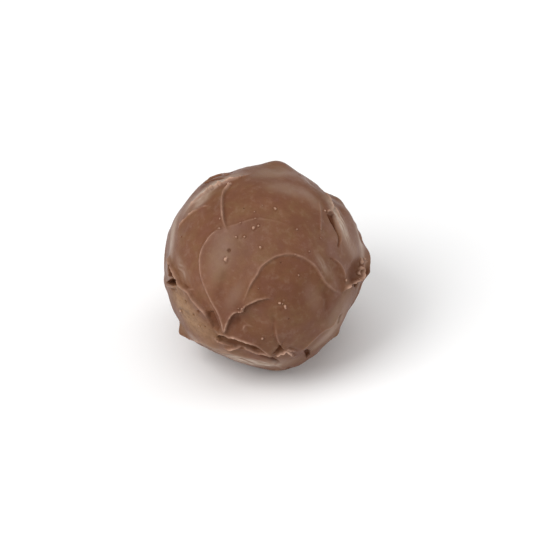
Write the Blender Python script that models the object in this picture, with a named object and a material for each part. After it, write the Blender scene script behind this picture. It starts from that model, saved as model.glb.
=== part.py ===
"""Chocolate bonbon: one ball of milk chocolate, coated by hand, so that overlapping smears leave ridges all over it.

The ball is one solid. Lengths in the tables are millimetres and angles are degrees, and the mesh is made in
metres, +Z up. The origin is the middle of the small flat spot that the bonbon rests on, and -Y is its front.
Every ridge, lump, hollow and dent is drawn on a flat sketch plane, as somebody who looks straight at that side
of the ball sees it: x to the right, y up, from the ball's middle. A point further out than the ball's radius
lies round the edge, on the far side.
"""

import math
from collections import namedtuple

import bmesh
import bpy
import numpy as np

MM = 0.001
BALL_RADIUS = 15.55
REST_RADIUS = 5.0
CENTRE_HEIGHT = math.sqrt(BALL_RADIUS**2 - REST_RADIUS**2)
SMEAR_RADIUS = 15.85

CREST_RADIUS = 0.1
GROOVE_PLACE = 0.45
GROOVE_WIDTH = 0.3
END_REACH = 0.5
RIDGE_REACH = 7.0
TRACE_STEP = 0.3

START_DIVISIONS = 5
RIDGE_EDGE = 0.6
DENT_EDGE = 0.3
RIDGE_BAND = 0.75
DENT_BAND = 0.35
CROSSING_REACH = 0.8

CHOCOLATE = (0.216, 0.108, 0.064, 1.0)
CHOCOLATE_ROUGHNESS = 0.45

Side = namedtuple("Side", "azimuth elevation")
FRONT = Side(0, 40)
EAST = Side(100, 0)
BACK = Side(180, 5)
WEST = Side(-100, 0)

Ridge = namedtuple("Ridge", "name side points height left right start end groove",
                   defaults=(0.2, 0.2, 0.0))
Lump = namedtuple("Lump", "side x y reach height")
Hollow = namedtuple("Hollow", "side x y long short turn depth")
Pit = namedtuple("Pit", "side corners depth soft")

# A ridge falls off over the length "left" to the left of its points' direction, and "right" to the right.
# start and end are the shares of its length over which it rises and fades. A groove lies along its steeper
# foot.
RIDGES = [
    Ridge("faint_arc", FRONT, [(5.05, 5.8), (3.4, 6.5), (1.9, 7.0), (0.3, 7.3), (-1.1, 7.4), (-2.45, 7.2),
                               (-3.75, 6.75), (-5.2, 6.3), (-6.9, 5.9)], 0.16, 1.3, 0.45, 0.5, 0.2),
    Ridge("long_left", FRONT, [(-6.3, 6.1), (-7.6, 5.4), (-8.7, 4.2), (-9.5, 2.9), (-9.9, 1.2), (-9.9, 0.0),
                               (-9.7, -1.6), (-9.1, -3.3), (-8.3, -5.0), (-7.4, -6.7), (-6.7, -8.1),
                               (-6.35, -9.2), (-6.2, -10.1)], 0.38, 1.6, 0.5, 0.12, 0.05, 0.05),
    Ridge("centre_left", FRONT, [(-5.2, 13.1), (-5.5, 12.6), (-6.1, 11.9), (-6.5, 11.0), (-6.55, 9.8),
                                 (-6.5, 8.5), (-6.3, 7.1), (-6.0, 6.1), (-5.5, 5.0)], 0.42, 0.45, 1.5,
          0.15, 0.3, 0.1),
    Ridge("arch", FRONT, [(-3.5, -6.4), (-2.8, -4.4), (-2.1, -2.7), (-1.15, -1.25), (-0.3, 0.15), (1.5, 1.4),
                          (2.8, 1.8), (3.8, 1.9), (5.0, 1.7), (6.4, 1.1), (7.7, 0.1), (8.6, -1.2),
                          (9.4, -2.5), (10.5, -3.5), (11.5, -4.0), (12.2, -4.3)], 0.42, 1.5, 0.5,
          0.2, 0.15, 0.05),
    Ridge("inner_arch", FRONT, [(2.0, -5.0), (0.4, -4.9), (-1.2, -5.15), (-2.4, -5.7), (-3.1, -6.2),
                                (-3.6, -6.95), (-4.5, -7.15), (-5.2, -7.7), (-5.7, -8.7), (-6.0, -9.7),
                                (-6.2, -10.3)], 0.65, 0.4, 1.6, 0.35, 0.1, 0.15),
    Ridge("left_ledge", FRONT, [(-15.2, 2.0), (-14.8, 0.5), (-14.2, -0.5), (-13.6, -1.8), (-13.2, -2.8),
                                (-12.5, -3.3), (-11.7, -3.95), (-11.1, -4.9), (-10.15, -6.0), (-9.2, -7.05),
                                (-8.8, -8.0), (-8.3, -8.9), (-7.8, -10.3)], 0.55, 0.35, 1.6, 0.1, 0.2, 0.2),
    Ridge("torn_edge", FRONT, [(-7.8, -10.3), (-7.0, -10.35), (-6.2, -10.3), (-5.4, -10.8), (-4.65, -10.8),
                               (-3.9, -11.1), (-3.0, -11.45), (-1.4, -12.0), (-0.3, -12.75), (0.7, -13.5),
                               (1.5, -13.9)], 0.5, 1.2, 0.35, 0.1, 0.1),
    Ridge("recess_edge", FRONT, [(-7.7, -11.0), (-7.5, -11.45), (-7.0, -11.75), (-6.3, -12.05),
                                 (-4.9, -12.5)], 0.24, 0.3, 0.5, 0.1, 0.6),
    Ridge("lower_lip", FRONT, [(-6.6, -13.0), (-5.5, -13.15), (-4.9, -13.0), (-4.0, -12.7), (-3.5, -12.6),
                               (-2.6, -12.8), (-1.9, -13.0), (-1.0, -13.35), (-0.1, -13.4), (1.0, -13.8),
                               (1.9, -13.95)], 0.42, 0.4, 0.7, 0.15, 0.12),
    Ridge("lip_curl", FRONT, [(1.6, -14.0), (2.5, -13.5), (3.45, -13.05), (4.3, -13.75), (4.9, -13.8)],
          0.45, 0.4, 0.4, 0.1, 0.15),
    Ridge("foot_edge", FRONT, [(-13.5, -8.6), (-13.1, -10.0), (-12.3, -10.7), (-11.3, -11.1),
                               (-10.2, -11.6), (-9.2, -12.0), (-7.9, -12.5), (-6.6, -13.0)], 0.38, 1.0,
          0.45, 0.15, 0.15),
    Ridge("foot_band", FRONT, [(-8.5, -13.0), (-5.7, -13.4), (-4.0, -13.8), (-1.9, -14.2), (-0.1, -14.6),
                               (1.9, -15.2), (3.6, -15.5)], 0.3, 0.7, 0.5, 0.2, 0.3),
    Ridge("flank_rim", FRONT, [(9.6, 12.0), (9.9, 11.2), (10.3, 10.4), (10.6, 9.4), (10.75, 8.6)], 0.45,
          0.4, 1.2, 0.2, 0.15, 0.1),
    Ridge("flank_edge", FRONT, [(11.0, 7.9), (11.4, 7.2), (11.75, 6.3), (12.0, 5.4), (12.05, 4.2),
                                (11.9, 3.1)], 0.25, 1.3, 0.4, 0.1, 0.3),
    Ridge("flank_lower", FRONT, [(10.4, 1.2), (11.3, 0.8), (12.05, -0.1), (12.4, -1.0), (12.65, -2.0)],
          0.2, 0.7, 0.45, 0.2, 0.15),
    Ridge("right_tear", FRONT, [(12.2, -4.3), (12.7, -3.3), (13.8, -2.6), (14.9, -2.0), (15.2, -1.0),
                                (15.3, -0.1), (15.7, 0.6), (16.2, 0.9)], 0.6, 0.4, 0.4, 0.2, 0.15, 0.1),
    Ridge("upper_right", FRONT, [(8.4, 10.7), (8.65, 9.3), (8.7, 7.5), (8.7, 5.8), (8.7, 4.4)],
          0.14, 0.6, 0.45, 0.3, 0.3),
    Ridge("shoulder_fold", FRONT, [(-12.4, 8.5), (-11.3, 9.7), (-10.2, 10.7), (-8.8, 11.7), (-7.9, 12.3),
                                   (-6.8, 12.7), (-5.2, 13.4), (-3.5, 14.0), (-1.8, 14.7)], 0.38, 0.9, 0.45,
          0.25, 0.3, 0.05),
    Ridge("left_arc", FRONT, [(-13.6, 5.2), (-13.3, 6.3), (-12.1, 7.7), (-11.4, 8.4), (-10.5, 8.9),
                              (-9.6, 9.3), (-8.4, 9.5)], 0.2, 0.6, 0.45, 0.25, 0.25),
    Ridge("rim_lobe", FRONT, [(-9.0, 13.0), (-8.2, 13.8), (-7.5, 14.2), (-6.7, 14.4), (-5.8, 14.4),
                              (-5.0, 14.7)], 0.34, 1.2, 0.4, 0.2, 0.3, 0.1),
    Ridge("lower_spur", FRONT, [(1.6, -8.5), (1.8, -9.7), (2.0, -10.8), (2.3, -11.6), (2.8, -12.4),
                                (3.3, -13.0)], 0.34, 1.0, 0.4, 0.5, 0.1, 0.1),
    Ridge("lower_right", FRONT, [(5.2, -13.5), (6.5, -12.4), (7.9, -11.1), (9.2, -10.0), (10.5, -9.3),
                                 (11.3, -8.2), (12.0, -6.7)], 0.25, 1.2, 0.7, 0.15, 0.3),
    Ridge("hole_thread", FRONT, [(-15.5, -2.55), (-15.1, -2.95), (-14.3, -3.15), (-13.5, -3.0)], 0.35,
          0.35, 0.4, 0.2, 0.2),
    Ridge("back_arch", BACK, [(-8.5, -6.0), (-6.5, -1.5), (-3.0, 2.2), (1.5, 3.6), (5.6, 2.2), (8.4, -1.2),
                              (9.6, -5.2)], 0.4, 1.6, 0.5, 0.2, 0.25, 0.05),
    Ridge("back_sweep", BACK, [(-11.5, 4.5), (-6.5, 6.2), (-1.0, 7.6), (3.5, 8.2), (8.0, 7.0)],
          0.34, 0.5, 1.4, 0.25, 0.3),
    Ridge("back_fork", BACK, [(1.5, 3.6), (2.9, 5.8), (3.5, 8.2)], 0.25, 0.5, 1.0, 0.1, 0.3),
    Ridge("back_inner", BACK, [(-2.8, -8.4), (-0.6, -4.2), (2.6, -3.0), (5.4, -4.6), (6.8, -8.6)],
          0.46, 1.3, 0.4, 0.2, 0.3, 0.1),
    Ridge("back_foot", BACK, [(-11.0, -9.5), (-7.5, -10.6), (-4.0, -10.2), (-0.5, -11.3), (3.5, -10.9),
                              (7.5, -11.6), (10.5, -10.2)], 0.48, 1.2, 0.4, 0.15, 0.2, 0.1),
    Ridge("back_run", BACK, [(-13.0, 5.5), (-10.8, 1.4), (-10.0, -3.5), (-11.0, -9.0)],
          0.34, 1.3, 0.5, 0.3, 0.15),
    Ridge("east_arch", EAST, [(-5.0, -9.0), (-4.6, -3.5), (-1.8, 1.0), (2.4, 2.6), (6.2, 1.0)],
          0.42, 1.4, 0.5, 0.2, 0.3),
    Ridge("east_sweep", EAST, [(2.4, 2.6), (5.2, 4.8), (8.2, 6.0), (11.4, 6.6)], 0.32, 0.5, 1.5, 0.15, 0.3),
    Ridge("east_short", EAST, [(3.6, -1.6), (6.4, -5.2), (6.6, -9.6)], 0.36, 1.2, 0.4, 0.3, 0.2, 0.1),
    Ridge("east_foot", EAST, [(-8.0, -11.2), (-5.0, -10.2), (-1.6, -11.1), (2.6, -10.4), (6.5, -11.2)],
          0.45, 1.1, 0.4, 0.2, 0.2, 0.1),
    Ridge("west_arch", WEST, [(2.4, -9.8), (2.7, -4.6), (0.6, -0.2), (-2.8, 2.2), (-6.6, 1.5), (-9.2, -2.2)],
          0.42, 0.5, 1.5, 0.2, 0.3),
    Ridge("west_sweep", WEST, [(-12.0, 8.0), (-8.4, 6.8), (-5.6, 5.2), (-3.4, 3.4)], 0.32, 0.5, 1.2, 0.3, 0.3),
    Ridge("west_inner", WEST, [(0.3, -9.8), (-0.4, -6.2), (-3.2, -4.0), (-6.6, -4.8), (-8.6, -8.4)],
          0.42, 0.4, 1.3, 0.25, 0.3, 0.1),
    Ridge("west_foot", WEST, [(-8.5, -9.8), (-4.5, -11.2), (-0.5, -10.6), (3.5, -11.6), (8.0, -10.9)],
          0.45, 1.1, 0.4, 0.2, 0.2, 0.1),
]

# Broad rises and, where the height is negative, flats. The first group gives the outline seen from the front.
LUMPS = [
    Lump(FRONT, 2.3, 15.4, 2.4, 1.0),
    Lump(FRONT, 9.0, 12.6, 3.0, -1.25),
    Lump(FRONT, -5.2, 14.8, 1.6, -0.3),
    Lump(FRONT, -8.9, 13.0, 2.6, 0.35),
    Lump(FRONT, 15.9, 1.6, 1.3, 0.55),
    Lump(FRONT, 16.1, 0.0, 1.1, 0.4),
    Lump(FRONT, 16.4, -1.0, 0.85, 0.75),
    Lump(FRONT, 15.1, 4.2, 1.0, -0.6),
    Lump(FRONT, 9.8, 11.4, 0.8, -0.4),
    Lump(FRONT, 14.2, -7.0, 4.4, -1.1),
    Lump(FRONT, 15.2, -3.2, 1.6, -0.35),
    Lump(FRONT, 9.8, -12.2, 2.2, -0.3),
    Lump(FRONT, 11.3, -10.5, 0.9, 0.35),
    Lump(FRONT, 2.8, -15.6, 3.2, 0.8),
    Lump(FRONT, -6.2, -14.8, 3.4, -0.35),
    Lump(FRONT, -12.9, -10.1, 1.0, 0.75),
    Lump(FRONT, -11.7, -11.2, 1.7, 0.4),
    Lump(FRONT, -15.3, 2.6, 4.0, -0.6),
    Lump(FRONT, -15.4, -2.4, 1.6, 0.35),
    Lump(FRONT, 12.9, 8.2, 2.4, 0.4),
    Lump(FRONT, 11.3, 10.8, 1.8, 0.25),
    Lump(BACK, 3.5, 6.0, 5.0, 0.4),
    Lump(BACK, -6.0, -3.0, 5.0, -0.45),
    Lump(BACK, 8.0, -7.0, 4.5, 0.35),
    Lump(EAST, 2.0, -4.5, 4.5, 0.35),
    Lump(EAST, 0.0, 9.0, 4.5, -0.35),
    Lump(WEST, -2.0, 4.0, 5.0, 0.35),
    Lump(WEST, 1.5, -6.0, 4.5, -0.4),
]

HOLLOWS = [
    Hollow(FRONT, -2.8, -8.4, 3.4, 2.0, -20, 0.6),
    Hollow(FRONT, -4.5, -8.9, 1.3, 0.9, 55, 0.3),
    Hollow(FRONT, -9.3, -5.9, 3.8, 0.85, -52, 0.4),
    Hollow(FRONT, 11.4, -1.6, 2.6, 0.9, -68, 0.28),
    Hollow(FRONT, 14.0, -1.0, 2.3, 1.4, 64, 0.6),
    Hollow(FRONT, 5.4, -3.6, 5.0, 3.6, -35, 0.3),
    Hollow(FRONT, -7.5, 10.3, 1.5, 0.9, 60, 0.25),
    Hollow(FRONT, 14.45, -2.8, 0.6, 0.5, 0, 0.7),
    Hollow(FRONT, 6.7, -13.5, 0.65, 0.5, 35, 0.7),
    Hollow(BACK, 2.4, -6.6, 3.4, 2.6, 0, 0.45),
    Hollow(EAST, 1.0, -3.6, 3.6, 2.8, 20, 0.35),
    Hollow(WEST, 0.4, -6.4, 3.4, 2.4, 0, 0.4),
]

# Steep-sided dents: the corners of each go round it in order.
PITS = [
    Pit(FRONT, [(-15.3, -2.5), (-14.2, -1.85), (-13.55, -2.05), (-13.35, -2.75), (-14.2, -2.9)], 0.9, 0.6),
    Pit(FRONT, [(-15.0, -1.5), (-14.9, 0.3), (-14.5, 0.2), (-13.8, -1.6)], 0.6, 0.6),
    Pit(FRONT, [(9.9, 8.2), (10.6, 8.1), (11.1, 7.2), (11.4, 6.0), (10.7, 6.3)], 0.4, 0.6),
    Pit(FRONT, [(1.4, -13.3), (2.1, -12.6), (2.8, -11.9), (3.0, -13.0), (2.3, -13.4)], 0.4, 0.6),
    Pit(FRONT, [(-7.4, -11.1), (-6.7, -10.5), (-3.6, -11.35), (-0.8, -12.95), (-3.6, -12.55), (-6.7, -11.75)],
        0.65, 0.6),
    Pit(FRONT, [(15.2, -1.9), (15.4, -0.5), (15.9, 0.1), (16.3, -0.9), (15.9, -1.6)], 0.35, 0.6),
]


def side_axes(side):
    """The right, up and outward directions of a sketch plane."""
    turn = math.radians(side.azimuth)
    rise = math.radians(side.elevation)
    right = np.array([math.cos(turn), math.sin(turn), 0.0])
    up = np.array([-math.sin(turn) * math.sin(rise), math.cos(turn) * math.sin(rise), math.cos(rise)])
    outward = np.array([math.sin(turn) * math.cos(rise), -math.cos(turn) * math.cos(rise), math.sin(rise)])
    return right, up, outward


def on_ball(side, x, y, radius=SMEAR_RADIUS):
    """The direction, from the ball's middle, of the point x, y of a sketch plane, where the surface has that
    radius."""
    right, up, outward = side_axes(side)
    out = math.hypot(x, y)
    if out < 1e-9:
        return outward
    inside = min(out, radius)
    tip = math.asin(inside / radius) + (out - inside) / radius
    sideways = (right * x + up * y) / out
    return sideways * math.sin(tip) + outward * math.cos(tip)


def unit(vectors):
    return vectors / np.linalg.norm(vectors, axis=-1, keepdims=True)


def smooth(value):
    value = np.clip(value, 0.0, 1.0)
    return value * value * (3.0 - 2.0 * value)


def trace(ridge):
    """Points along the ridge's smooth curve on the unit sphere, with the directions along it and to its left."""
    knots = [on_ball(ridge.side, x, y) for x, y in ridge.points]
    knots = [2 * knots[0] - knots[1], *knots, 2 * knots[-1] - knots[-2]]
    line = []
    for a, b, c, d in zip(knots, knots[1:], knots[2:], knots[3:]):
        count = max(2, round(np.linalg.norm(c - b) * BALL_RADIUS / TRACE_STEP))
        for t in np.arange(count) / count:
            line.append(0.5 * (2 * b + (c - a) * t + (2 * a - 5 * b + 4 * c - d) * t**2
                               + (3 * b - a - 3 * c + d) * t**3))
    line = unit(np.array([*line, knots[-2]]))
    along = unit(np.gradient(line, axis=0))
    left = unit(np.cross(line, along))
    steps = np.linalg.norm(np.diff(line, axis=0), axis=1)
    share = np.concatenate([[0.0], np.cumsum(steps)]) / steps.sum()
    return line, along, left, share


def beside(points, traced):
    """Each direction's distance to the left of a traced curve, its share of the way along, its distance past
    the curve's ends, and the curve's own left there."""
    line, along, left, share = traced
    nearest = (points @ line.T).argmax(axis=1)
    offset = (points - line[nearest]) * BALL_RADIUS
    sideways = (offset * left[nearest]).sum(axis=1)
    onward = (offset * along[nearest]).sum(axis=1)
    past = np.where(nearest == 0, -onward, np.where(nearest == len(line) - 1, onward, 0.0))
    return sideways, share[nearest], np.maximum(past, 0.0), left[nearest]


def ridge_relief(points):
    """The height that the ridges add at each direction."""
    squares = np.zeros(len(points))
    grooves = np.zeros(len(points))
    for ridge in RIDGES:
        sideways, share, past, _ = beside(points, trace(ridge))
        strength = smooth(share / ridge.start) * smooth((1 - share) / ridge.end)
        strength = strength * np.exp(-((past / END_REACH) ** 2))
        rounded = np.sqrt(sideways**2 + CREST_RADIUS**2) - CREST_RADIUS
        width = np.where(sideways > 0, ridge.left, ridge.right)
        fade = smooth((RIDGE_REACH - np.abs(sideways) - past) / 2)
        squares += (ridge.height * strength * fade * np.exp(-rounded / width)) ** 2
        steep = 1.0 if ridge.left < ridge.right else -1.0
        in_groove = (sideways * steep - GROOVE_PLACE) / GROOVE_WIDTH
        grooves += ridge.groove * strength * np.exp(-(in_groove**2))
    return np.sqrt(squares) - grooves


def lump_relief(points):
    height = np.zeros(len(points))
    for lump in LUMPS:
        middle = on_ball(lump.side, lump.x, lump.y, BALL_RADIUS)
        gap = np.arccos(np.clip(points @ middle, -1, 1)) * BALL_RADIUS
        height += lump.height * np.exp(-((gap / lump.reach) ** 2))
    return height


def hollow_relief(points):
    depth = np.zeros(len(points))
    for hollow in HOLLOWS:
        middle = on_ball(hollow.side, hollow.x, hollow.y)
        right, up, _ = side_axes(hollow.side)
        turn = math.radians(hollow.turn)
        long_way = right * math.cos(turn) + up * math.sin(turn)
        long_way = unit(long_way - middle * (long_way @ middle))
        short_way = np.cross(middle, long_way)
        offset = (points - middle) * BALL_RADIUS
        spread = (offset @ long_way / hollow.long) ** 2 + (offset @ short_way / hollow.short) ** 2
        depth += np.where(points @ middle > 0, hollow.depth * np.exp(-(spread**1.5)), 0.0)
    return depth


def pit_margin(points, pit):
    """Each direction's distance inside the nearest side of a pit, negative outside."""
    corners = [on_ball(pit.side, x, y) for x, y in pit.corners]
    middle = unit(np.mean(corners, axis=0))
    margin = np.full(len(points), np.inf)
    for a, b in zip(corners, corners[1:] + corners[:1]):
        wall = unit(np.cross(a, b))
        wall = wall * np.sign(wall @ middle)
        margin = np.minimum(margin, points @ wall * BALL_RADIUS)
    return np.where(points @ middle > 0, margin, -np.inf)


def pit_relief(points):
    depth = np.zeros(len(points))
    for pit in PITS:
        depth += pit.depth * smooth(0.5 + pit_margin(points, pit) / pit.soft)
    return depth


def shaped(points):
    """The chocolate's surface in millimetres, from its middle, for each direction."""
    radius = BALL_RADIUS + ridge_relief(points) + lump_relief(points) - hollow_relief(points) - pit_relief(points)
    surface = points * radius[:, None]
    surface[:, 2] = np.maximum(surface[:, 2], -CENTRE_HEIGHT)
    return surface


def wanted_edge(points):
    """The length of the mesh's edges, in millimetres, that the relief needs at each direction."""
    edge = np.full(len(points), np.inf)
    for ridge in RIDGES:
        sideways, _, past, _ = beside(points, trace(ridge))
        edge = np.minimum(edge, np.where(np.hypot(sideways, past) < RIDGE_BAND, RIDGE_EDGE, np.inf))
    for pit in PITS:
        edge = np.minimum(edge, np.where(np.abs(pit_margin(points, pit)) < DENT_BAND, DENT_EDGE, np.inf))
    for hollow in HOLLOWS:
        if hollow.long < 1.0:
            gap = np.arccos(np.clip(points @ on_ball(hollow.side, hollow.x, hollow.y), -1, 1)) * BALL_RADIUS
            edge = np.minimum(edge, np.where(gap < hollow.long, DENT_EDGE, np.inf))
    return edge


def crest_moves(mesh, points):
    """For each corner at the nearer end of an edge that crosses a ridge: how far it is from the ridge's crest,
    and the sideways step onto it."""
    ends = np.array([(edge.verts[0].index, edge.verts[1].index) for edge in mesh.edges])
    moves = {}
    for ridge in RIDGES:
        sideways, _, past, left = beside(points, trace(ridge))
        close = (np.abs(sideways) < CROSSING_REACH) & (past == 0)
        crossing = close[ends].all(axis=1) & (sideways[ends].prod(axis=1) < 0)
        pairs = ends[crossing]
        nearer = pairs[np.arange(len(pairs)), np.abs(sideways[pairs]).argmin(axis=1)]
        for corner in np.unique(nearer):
            away = abs(sideways[corner])
            if corner not in moves or away < moves[corner][0]:
                moves[corner] = (away, -sideways[corner] * left[corner] / BALL_RADIUS)
    return moves


def set_on_crests(mesh, points):
    """Moves corners onto the ridges' crests, the nearest first, but never all three of one triangle."""
    mesh.verts.ensure_lookup_table()
    moved = set()
    for corner, (_, step) in sorted(crest_moves(mesh, points).items(), key=lambda move: move[1][0]):
        triangles = [{vertex.index for vertex in face.verts} for face in mesh.verts[corner].link_faces]
        if any(triangle - {corner} <= moved for triangle in triangles):
            continue
        points[corner] += step
        moved.add(corner)
    return unit(points)


def vertex_table(mesh):
    return np.array([vertex.co[:] for vertex in mesh.verts])


def ball_mesh():
    """A ball of even triangles, with smaller ones along the ridges and dents, and corners on the crests."""
    mesh = bmesh.new()
    bmesh.ops.create_icosphere(mesh, subdivisions=START_DIVISIONS, radius=1.0)
    for limit in (1.5 * RIDGE_EDGE, 1.5 * DENT_EDGE):
        middles = unit(np.array([(edge.verts[0].co + edge.verts[1].co)[:] for edge in mesh.edges]))
        lengths = np.array([edge.calc_length() for edge in mesh.edges]) * BALL_RADIUS
        too_long = (lengths > limit) & (lengths > 1.5 * wanted_edge(middles))
        split = [edge for edge, chosen in zip(mesh.edges, too_long) if chosen]
        bmesh.ops.subdivide_edges(mesh, edges=split, cuts=1, use_grid_fill=True)
        bmesh.ops.triangulate(mesh, faces=mesh.faces[:])
        for vertex in mesh.verts:
            vertex.co.normalize()
    mesh.verts.index_update()
    points = set_on_crests(mesh, unit(vertex_table(mesh)))
    surface = shaped(points) + np.array([0.0, 0.0, CENTRE_HEIGHT])
    for vertex, place in zip(mesh.verts, surface * MM):
        vertex.co = place
    return mesh


def chocolate():
    material = bpy.data.materials.new("milk_chocolate")
    material.use_nodes = True
    shader = material.node_tree.nodes["Principled BSDF"]
    shader.inputs["Base Color"].default_value = CHOCOLATE
    shader.inputs["Roughness"].default_value = CHOCOLATE_ROUGHNESS
    shader.inputs["Metallic"].default_value = 0.0
    return material


def main():
    for old in list(bpy.data.objects):
        bpy.data.objects.remove(old)
    data = bpy.data.meshes.new("bonbon")
    mesh = ball_mesh()
    mesh.to_mesh(data)
    mesh.free()
    data.shade_smooth()
    data.materials.append(chocolate())
    bonbon = bpy.data.objects.new("bonbon", data)
    bpy.context.scene.collection.objects.link(bonbon)


main()
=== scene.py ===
"""The looks of the chocolate bonbon: a fine mesh of its smeared coating, milk chocolate, and a pale studio.

The tables of ridges, lumps and hollows are in millimetres and degrees, on flat sketch planes, as somebody who
looks straight at that side of the ball sees it: x to the right, y up, from the ball's middle. A point further
out than the ball's radius lies round the edge, on the far side. Meshes are made in metres.
"""

import math
from collections import namedtuple

import bmesh
import bpy
import numpy as np
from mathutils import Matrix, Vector, noise


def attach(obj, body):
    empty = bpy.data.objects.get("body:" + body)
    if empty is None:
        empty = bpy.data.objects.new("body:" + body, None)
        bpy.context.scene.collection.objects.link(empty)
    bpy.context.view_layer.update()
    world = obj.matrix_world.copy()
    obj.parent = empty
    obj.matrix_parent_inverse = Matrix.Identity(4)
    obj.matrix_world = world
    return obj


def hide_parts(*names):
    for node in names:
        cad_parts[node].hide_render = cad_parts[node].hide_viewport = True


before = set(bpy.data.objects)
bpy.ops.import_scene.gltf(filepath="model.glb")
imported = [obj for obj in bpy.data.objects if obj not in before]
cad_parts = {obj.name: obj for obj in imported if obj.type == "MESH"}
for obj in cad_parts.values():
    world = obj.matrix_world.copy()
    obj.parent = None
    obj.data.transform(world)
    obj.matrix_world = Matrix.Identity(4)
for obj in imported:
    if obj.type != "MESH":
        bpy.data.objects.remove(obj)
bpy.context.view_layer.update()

# MM is a millimetre in metres, and the sizes of the ball are in millimetres. It rests on a flat spot, and its
# smears reach a little further out.
MM = 0.001
BALL_RADIUS = 15.55
REST_RADIUS = 5.0
CENTRE_HEIGHT = math.sqrt(BALL_RADIUS**2 - REST_RADIUS**2)
SMEAR_RADIUS = 15.85
TRACE_STEP = 0.15
TURN_STEP = 0.1
TINY = 1e-9

# How ridges fall off, in millimetres, round their tops, past their ends and far from them, and how ragged the
# torn ones are.
CREST_RADIUS = 0.1
END_REACH = 0.45
RIDGE_REACH = 7.0
RIDGE_FADE = 2.0
LEAN_REACH = 0.4
WANDER = 0.3
RAGGED_LEAST = 0.2
RAGGED_MOST = 1.5

# The groove and the shaded wall beside a ridge's steeper foot.
GROOVE_PLACE = 0.34
GROOVE_WIDTH = 0.24
GROOVE_SHADE = 3.0
WALL_PLACE = 0.24
WALL_WIDTH = 0.2

# The thin seam along a ridge's top, raised and given a pale painted highlight. It is patchier where the ridge
# is torn.
THREAD_WIDTH = 0.16
THREAD_FULL = 0.27
SEAM_MEAN = 0.75
SEAM_LEAST = 0.05
SEAM_MOST = 1.6
SEAM_PATCHY = 0.3
SEAM_PATCHY_TORN = 2.0

# Cracks and ripples. Their fades are shares of their length, and their reaches are in their own widths, but
# the one past the ripples' ends is in millimetres.
CRACK_REACH = 4.0
CRACK_FADE = 0.25
RIPPLE_REACH = 2.0
RIPPLE_FADE = 0.2
RIPPLE_END_REACH = 0.8
RIPPLE_MEAN = 0.7
RIPPLE_MOST = 1.5
RIPPLE_SHEEN = 18.0

# Hollows, pores and beads. A bead's spread and height are in its own radii, and the shade at its foot is in
# its spread.
HOLLOW_POWER = 1.5
PORE_DARK = 0.55
BEAD_SPREAD = 0.8
BEAD_HEIGHT = 1.1
FOOT_PLACE = 1.5
FOOT_WIDTH = 0.4

# How the relief becomes painted light and shade: the heights and depths, in millimetres, at which beads
# get a painted highlight and hollows and cracks painted shade, and the shares of painted highlight and shade.
BEAD_HIGHLIGHT_HEIGHT = 0.2
BEAD_HIGHLIGHT_START = 0.3
BEAD_HIGHLIGHT_MOST = 0.8
DEEP_HOLLOW = 0.7
DEEP_SPAN = 0.4
CRACK_FULL = 0.45
WALL_DARK = 0.6
FOOT_DARK = 0.3
CREST_CLEAR = 0.7

# Random unevenness: the size in millimetres over which it changes, its seed, and its strength.
Noise = namedtuple("Noise", "size seed strength")
SEED_SHIFT = (17.3, -9.1, 5.7)
WANDER_NOISE = [Noise(1.1, 1, 1.0), Noise(0.45, 2, 0.6)]
RAGGED_NOISE = [Noise(0.55, 3, 1.0)]
SEAM_NOISE = [Noise(1.7, 8, 1.5), Noise(0.5, 9, 0.5)]
RIPPLE_WANDER_NOISE = [Noise(2.5, 4, 1.3)]
RIPPLE_NOISE = [Noise(1.5, 10, 1.5)]
BEAD_NOISE = [Noise(0.5, 7, 0.9)]
SWELL_NOISE = [Noise(4.5, 5, 0.09), Noise(1.8, 6, 0.05), Noise(0.6, 11, 0.012)]

# The mesh: the length of its edges, and how far from each kind of relief they are short. An edge is split
# when it is LONG_EDGE times as long as wanted.
START_DIVISIONS = 7
COARSE_EDGE = 0.15
FINE_EDGE = 0.08
LONG_EDGE = 1.5
SEARCH_REACH = 1.0
RIDGE_FOOT_REACH = 0.36
RIDGE_TOP_REACH = 0.17
CRACK_EDGE_REACH = 0.35
BEAD_MARGIN = 0.15
NARROW_HOLLOW = 0.5
HOLLOW_MARGIN = 0.1
PIT_WALL_REACH = 0.3

# The directions of the sketch planes, in degrees round the ball from the front and up from its middle.
Side = namedtuple("Side", "azimuth elevation")
FRONT = Side(0, 40)
EAST = Side(100, 0)
BACK = Side(180, 5)
WEST = Side(-100, 0)

Ridge = namedtuple("Ridge", "name side points height left right start end groove lean torn thread",
                   defaults=(0.2, 0.2, 0.0, 0.0, 0.0, 0.07))
Crack = namedtuple("Crack", "side points depth width")
Ripples = namedtuple("Ripples", "side points width spacing height")
Lump = namedtuple("Lump", "side x y reach height")
Hollow = namedtuple("Hollow", "side x y long short turn depth")
Pit = namedtuple("Pit", "side corners depth soft dark")
Bead = namedtuple("Bead", "x y radius")
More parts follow.
